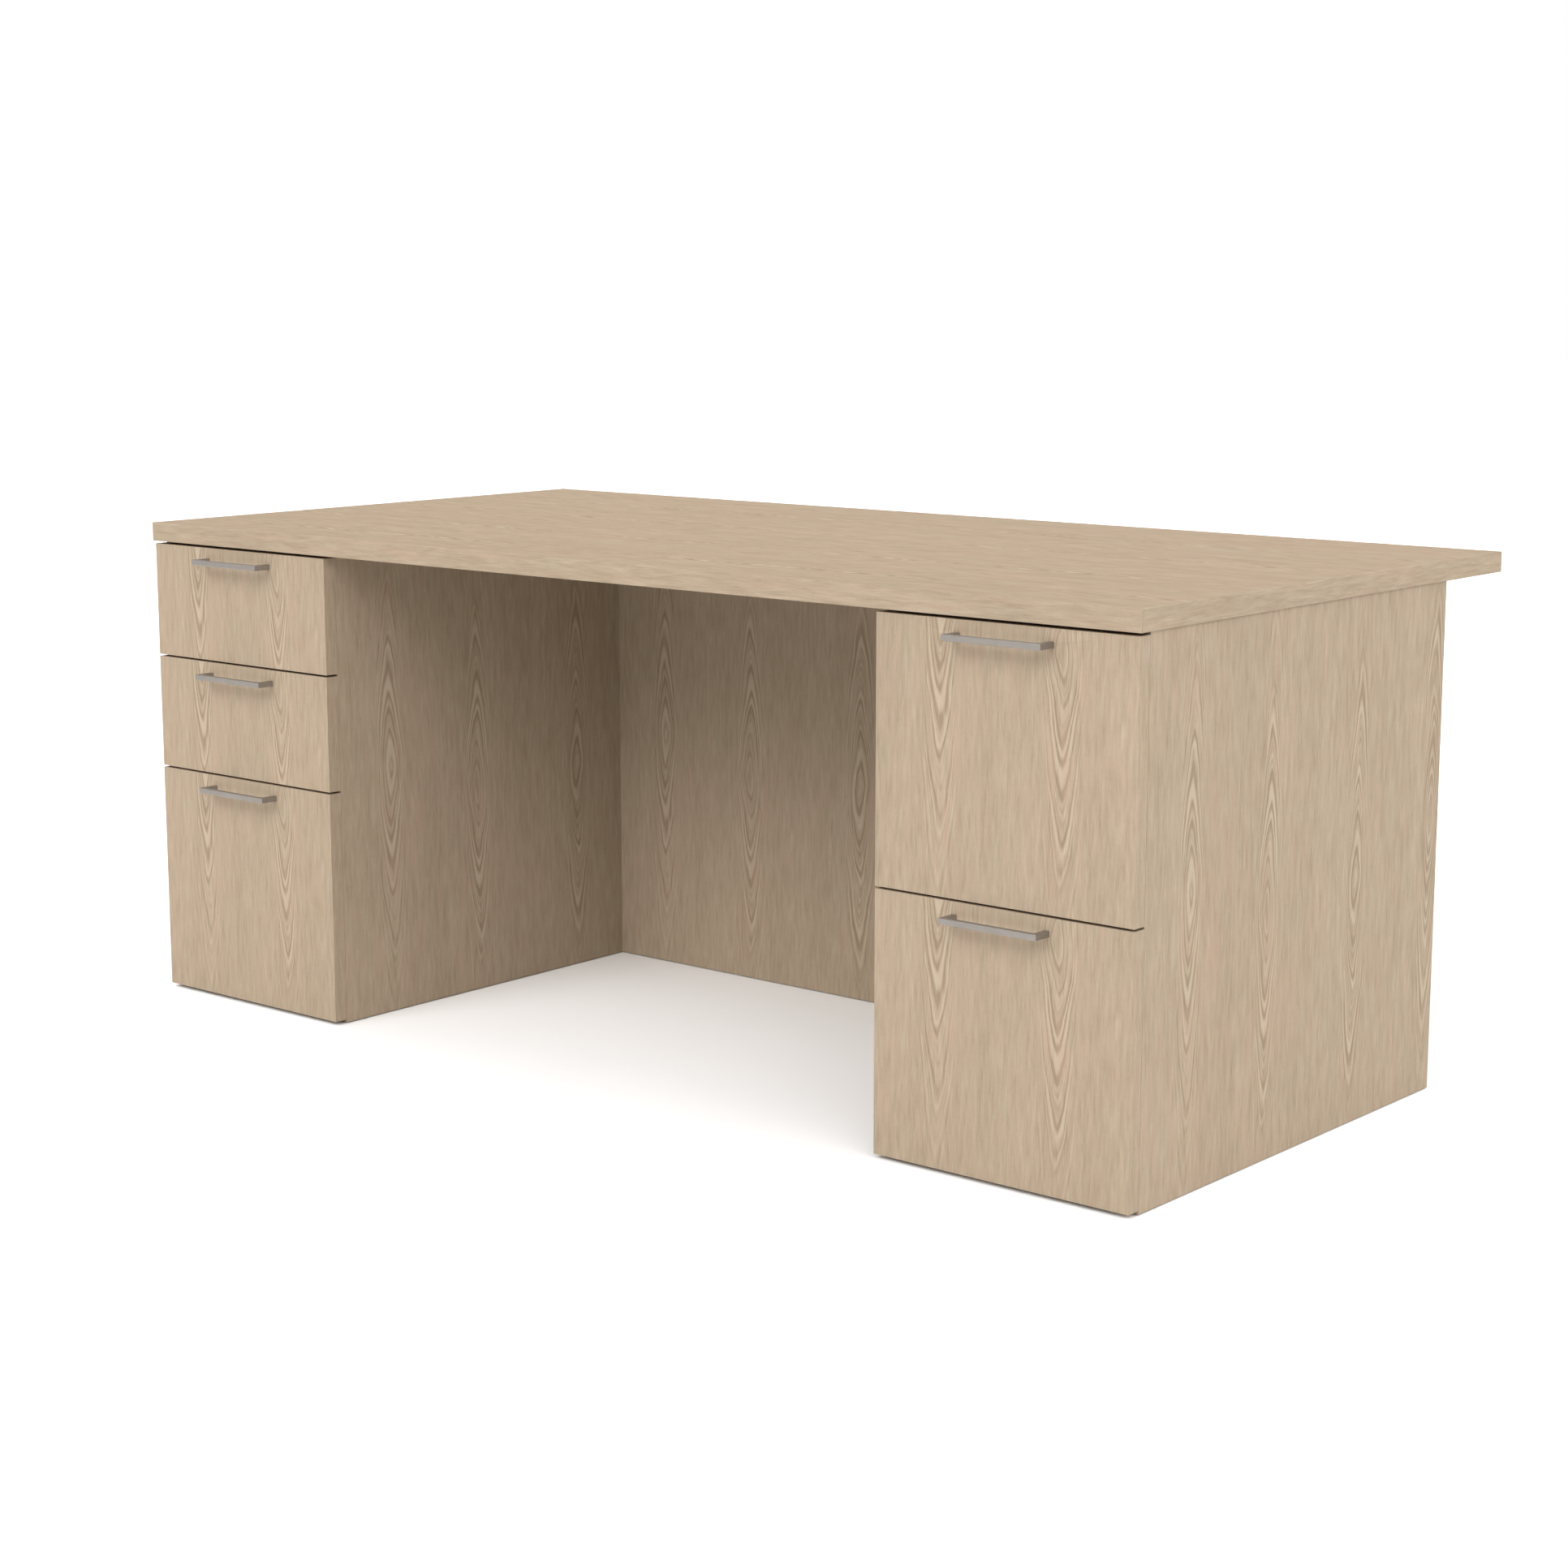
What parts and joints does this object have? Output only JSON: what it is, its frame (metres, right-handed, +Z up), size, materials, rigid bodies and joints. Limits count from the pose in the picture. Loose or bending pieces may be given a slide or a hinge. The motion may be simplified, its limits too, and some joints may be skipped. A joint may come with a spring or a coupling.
{
  "type": "pedestal desk",
  "caption": "Straight-topped office desk on drawer pedestals, with bar pulls, full-extension drawers and a full-height modesty panel set back under a rear overhang.",
  "frame": {"origin": "on the floor under the middle of the desk's box, pulls included", "axes": "+X to the right as seen from the drawer side, +Y towards the visitor's side, +Z up"},
  "size_m": [1.8288, 0.9406, 0.743],
  "materials": {
    "laminate_panel": "satin pale oak laminate, upright grain",
    "laminate_top": "satin pale oak laminate, grain lengthwise",
    "edge_band": "matching edge band",
    "drawer_box": "smooth pale melamine board",
    "dowel_wood": "bare beech",
    "pull_metal": "satin nickel",
    "slide_steel": "zinc plated",
    "screw_steel": "zinc plated",
    "file_rail": "satin anodised",
    "glide_nylon": "moulded nylon"
  },
  "bodies": {
    "desk_frame": {"desk_top": "laminate_top", "top_edge_band": "edge_band", "left_end_panel": "laminate_panel", "left_inner_panel": "laminate_panel", "left_back_panel": "laminate_panel", "left_bottom_panel": "laminate_panel", "right_end_panel": "laminate_panel", "right_inner_panel": "laminate_panel", "right_back_panel": "laminate_panel", "right_bottom_panel": "laminate_panel", "pedestal_top_rails": "drawer_box", "modesty_panel": "laminate_panel", "case_screws": "screw_steel", "case_dowels": "dowel_wood", "slide_channels": "slide_steel", "floor_glides": "glide_nylon"},
    "left_upper_drawer": {"left_upper_face": "laminate_panel", "left_upper_box_sides": "drawer_box", "left_upper_box_ends": "drawer_box", "left_upper_box_bottom": "drawer_box", "left_upper_pull": "pull_metal", "left_upper_slide_members": "slide_steel", "left_upper_screws": "screw_steel"},
    "left_upper_runner_pair": {"left_upper_runners": "slide_steel"},
    "left_middle_drawer": {"left_middle_face": "laminate_panel", "left_middle_box_sides": "drawer_box", "left_middle_box_ends": "drawer_box", "left_middle_box_bottom": "drawer_box", "left_middle_pull": "pull_metal", "left_middle_slide_members": "slide_steel", "left_middle_screws": "screw_steel"},
    "left_middle_runner_pair": {"left_middle_runners": "slide_steel"},
    "left_lower_drawer": {"left_lower_face": "laminate_panel", "left_lower_box_sides": "drawer_box", "left_lower_box_ends": "drawer_box", "left_lower_box_bottom": "drawer_box", "left_lower_pull": "pull_metal", "left_lower_slide_members": "slide_steel", "left_lower_screws": "screw_steel", "left_lower_file_rails": "file_rail"},
    "left_lower_runner_pair": {"left_lower_runners": "slide_steel"},
    "right_upper_drawer": {"right_upper_face": "laminate_panel", "right_upper_box_sides": "drawer_box", "right_upper_box_ends": "drawer_box", "right_upper_box_bottom": "drawer_box", "right_upper_pull": "pull_metal", "right_upper_slide_members": "slide_steel", "right_upper_screws": "screw_steel", "right_upper_file_rails": "file_rail"},
    "right_upper_runner_pair": {"right_upper_runners": "slide_steel"},
    "right_lower_drawer": {"right_lower_face": "laminate_panel", "right_lower_box_sides": "drawer_box", "right_lower_box_ends": "drawer_box", "right_lower_box_bottom": "drawer_box", "right_lower_pull": "pull_metal", "right_lower_slide_members": "slide_steel", "right_lower_screws": "screw_steel", "right_lower_file_rails": "file_rail"},
    "right_lower_runner_pair": {"right_lower_runners": "slide_steel"}
  },
  "joints": [
    {"name": "drawer_left_upper", "type": "slide", "parent": "desk_frame", "child": "left_upper_drawer", "axis": [0, -1, 0], "range_m": [0, 0.61]},
    {"name": "runner_left_upper", "type": "slide", "parent": "desk_frame", "child": "left_upper_runner_pair", "axis": [0, -1, 0], "range_m": [0, 0.305]},
    {"name": "drawer_left_middle", "type": "slide", "parent": "desk_frame", "child": "left_middle_drawer", "axis": [0, -1, 0], "range_m": [0, 0.61]},
    {"name": "runner_left_middle", "type": "slide", "parent": "desk_frame", "child": "left_middle_runner_pair", "axis": [0, -1, 0], "range_m": [0, 0.305]},
    {"name": "drawer_left_lower", "type": "slide", "parent": "desk_frame", "child": "left_lower_drawer", "axis": [0, -1, 0], "range_m": [0, 0.61]},
    {"name": "runner_left_lower", "type": "slide", "parent": "desk_frame", "child": "left_lower_runner_pair", "axis": [0, -1, 0], "range_m": [0, 0.305]},
    {"name": "drawer_right_upper", "type": "slide", "parent": "desk_frame", "child": "right_upper_drawer", "axis": [0, -1, 0], "range_m": [0, 0.61]},
    {"name": "runner_right_upper", "type": "slide", "parent": "desk_frame", "child": "right_upper_runner_pair", "axis": [0, -1, 0], "range_m": [0, 0.305]},
    {"name": "drawer_right_lower", "type": "slide", "parent": "desk_frame", "child": "right_lower_drawer", "axis": [0, -1, 0], "range_m": [0, 0.61]},
    {"name": "runner_right_lower", "type": "slide", "parent": "desk_frame", "child": "right_lower_runner_pair", "axis": [0, -1, 0], "range_m": [0, 0.305]}
  ],
  "couplings": [
    {"joint": "runner_left_upper", "follows": "drawer_left_upper", "ratio": 0.5},
    {"joint": "runner_left_middle", "follows": "drawer_left_middle", "ratio": 0.5},
    {"joint": "runner_left_lower", "follows": "drawer_left_lower", "ratio": 0.5},
    {"joint": "runner_right_upper", "follows": "drawer_right_upper", "ratio": 0.5},
    {"joint": "runner_right_lower", "follows": "drawer_right_lower", "ratio": 0.5}
  ]
}
